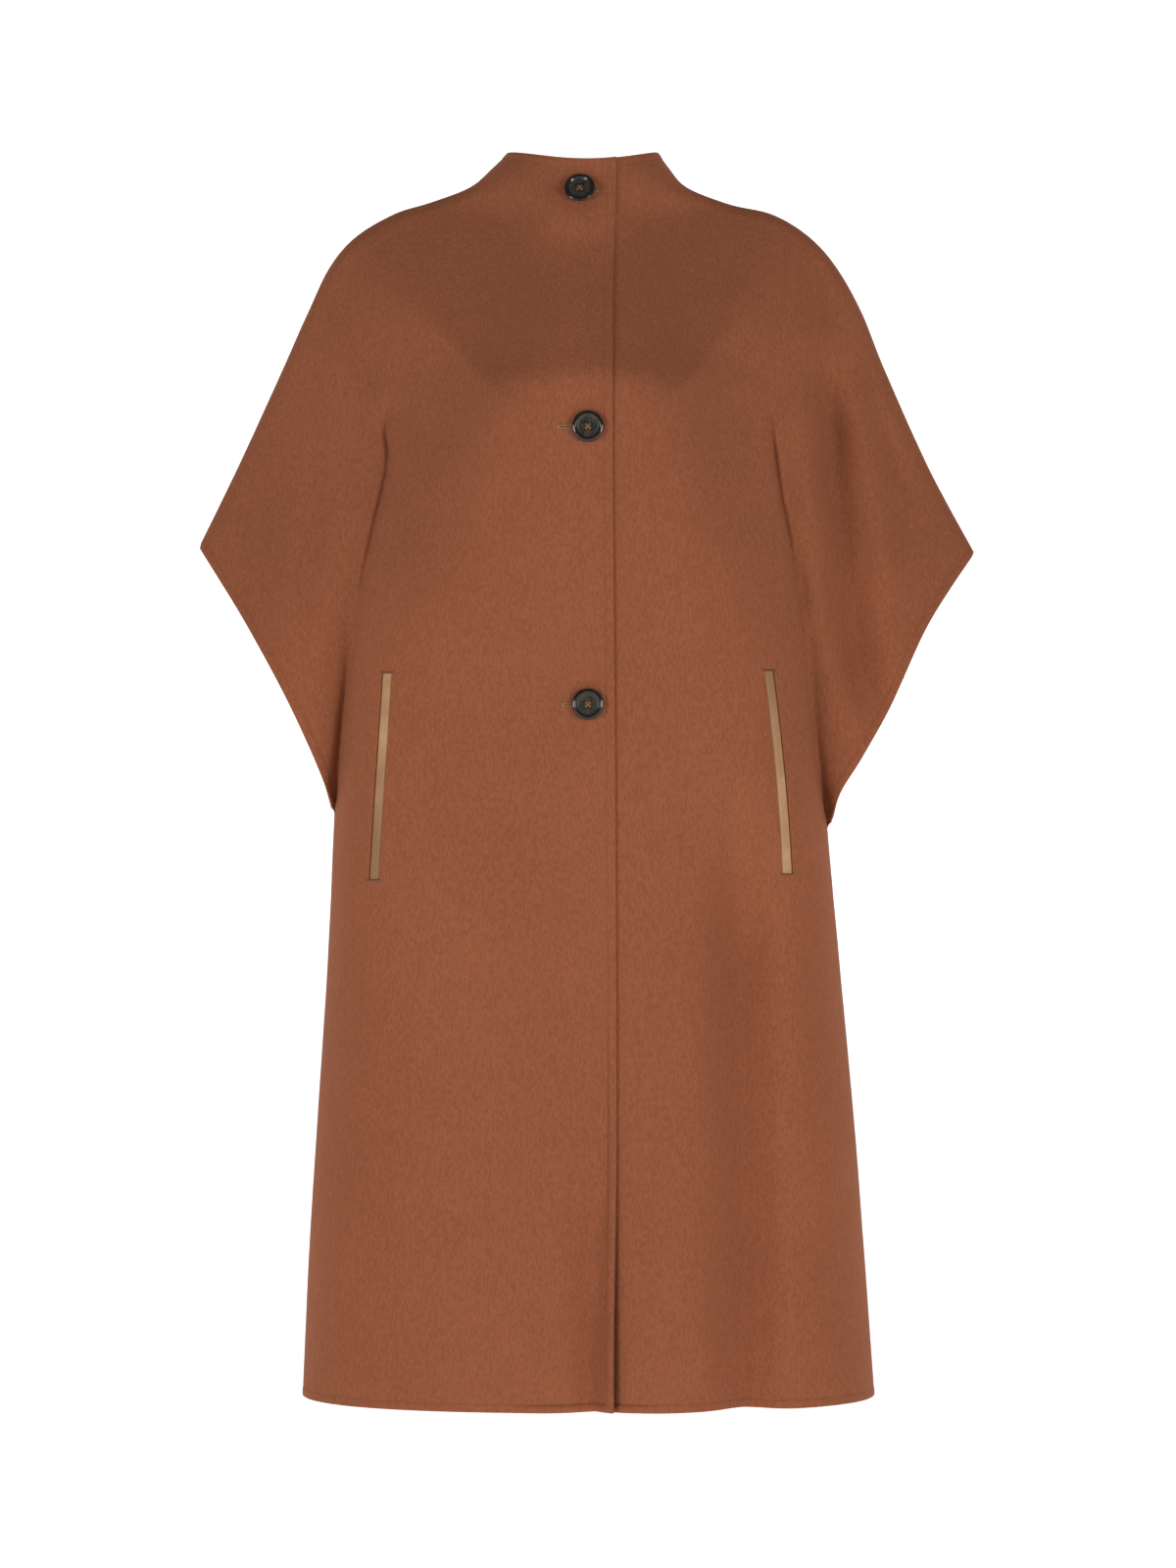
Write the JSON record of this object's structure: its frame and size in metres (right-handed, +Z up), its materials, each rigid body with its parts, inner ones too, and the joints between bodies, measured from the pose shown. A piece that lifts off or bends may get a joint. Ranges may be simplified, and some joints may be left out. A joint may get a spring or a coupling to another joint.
{
  "type": "wool cape-coat",
  "caption": "Knee-length wool cape-coat with funnel neck, wide half sleeves cut in one, welt pockets and a buttoned front, filled out and hollow.",
  "frame": {"origin": "middle of the neck's base, on the line between the shoulders, where the wearer holds the cape up", "axes": "+Z up, the front faces -Y, the wearer's left is +X"},
  "size_m": [0.68, 0.3085, 1.0891],
  "materials": {
    "wool": "matt brushed double-faced wool",
    "leather_piping": "smooth semi-matt",
    "horn": "polished dark horn look"
  },
  "bodies": {
    "root": {"back": "wool", "front_right": "wool", "front_left": "wool", "pocket_welt_right": "leather_piping", "pocket_welt_left": "leather_piping", "button_collar": "horn", "button_chest": "horn", "button_waist": "horn"}
  },
  "joints": []
}
